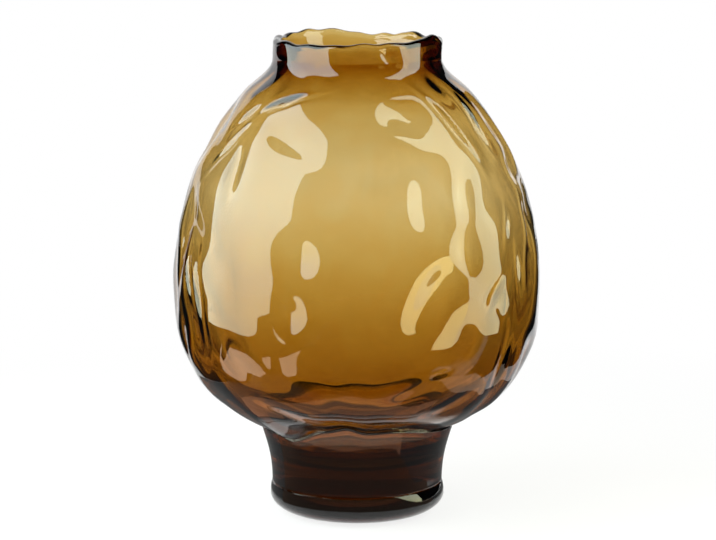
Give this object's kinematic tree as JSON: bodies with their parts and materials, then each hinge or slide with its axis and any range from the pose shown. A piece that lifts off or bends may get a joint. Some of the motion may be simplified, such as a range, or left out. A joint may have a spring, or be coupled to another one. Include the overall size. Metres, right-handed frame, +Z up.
{
  "type": "glass vase",
  "caption": "Footed vase of clear amber glass: dented egg-shaped bowl with a short wide neck, on a thick flaring stem and a solid round foot.",
  "frame": {"origin": "centre of the foot's ground ring, on the surface the vase stands on", "axes": "+Z up along the vase's axis, -Y towards the viewer of the picture, +X to that viewer's right"},
  "size_m": [0.219, 0.2198, 0.2883],
  "materials": {
    "amber_glass": "clear polished"
  },
  "bodies": {
    "root": {"foot": "amber_glass", "stem": "amber_glass", "body": "amber_glass"}
  },
  "joints": []
}
